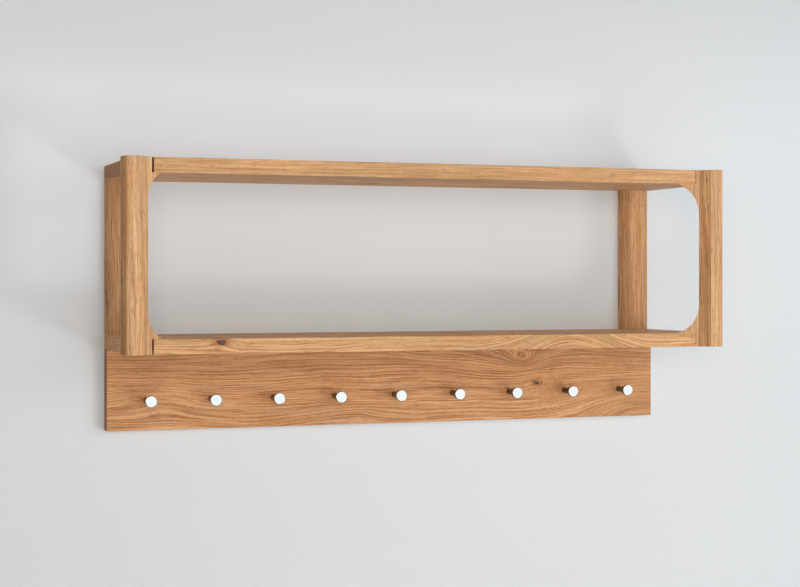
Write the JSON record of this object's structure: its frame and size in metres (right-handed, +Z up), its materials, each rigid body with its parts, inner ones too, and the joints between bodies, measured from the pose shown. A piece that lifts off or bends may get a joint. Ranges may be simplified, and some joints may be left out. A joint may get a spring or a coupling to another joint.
{
  "type": "shaker peg rail with shelf",
  "caption": "Oak wall shelf with a second shelf on rounded posts above it and a rail of turned metal pegs below.",
  "frame": {"origin": "centre of the peg rail's back face, on the wall", "axes": "+Z up, +Y into the wall, so the front faces -Y, +X to the right along the wall for someone who faces it"},
  "size_m": [1, 0.253, 0.422],
  "materials": {
    "oak_shelf": "oiled oak, grain along the length",
    "oak_rail": "oiled oak, grain along the length",
    "oak_post": "oiled oak, grain upright",
    "oak_block": "oiled oak, grain upright",
    "beech_dowel": "plain beech",
    "peg_metal": "turned and polished",
    "zinc_steel": "zinc plated"
  },
  "bodies": {
    "root": {"bottom_shelf": "oak_shelf", "top_shelf": "oak_shelf", "peg_rail": "oak_rail", "rear_left_post": "oak_post", "rear_right_post": "oak_post", "front_left_post": "oak_post", "front_right_post": "oak_post", "lower_left_block": "oak_block", "lower_right_block": "oak_block", "upper_left_block": "oak_block", "upper_right_block": "oak_block", "rear_post_dowels": "beech_dowel", "front_post_dowels": "beech_dowel", "rail_dowels": "beech_dowel", "peg_1": "peg_metal", "peg_2": "peg_metal", "peg_3": "peg_metal", "peg_4": "peg_metal", "peg_5": "peg_metal", "peg_6": "peg_metal", "peg_7": "peg_metal", "peg_8": "peg_metal", "peg_9": "peg_metal", "peg_screws": "zinc_steel", "hanger_left": "zinc_steel", "hanger_right": "zinc_steel", "hanger_screws": "zinc_steel"}
  },
  "joints": []
}
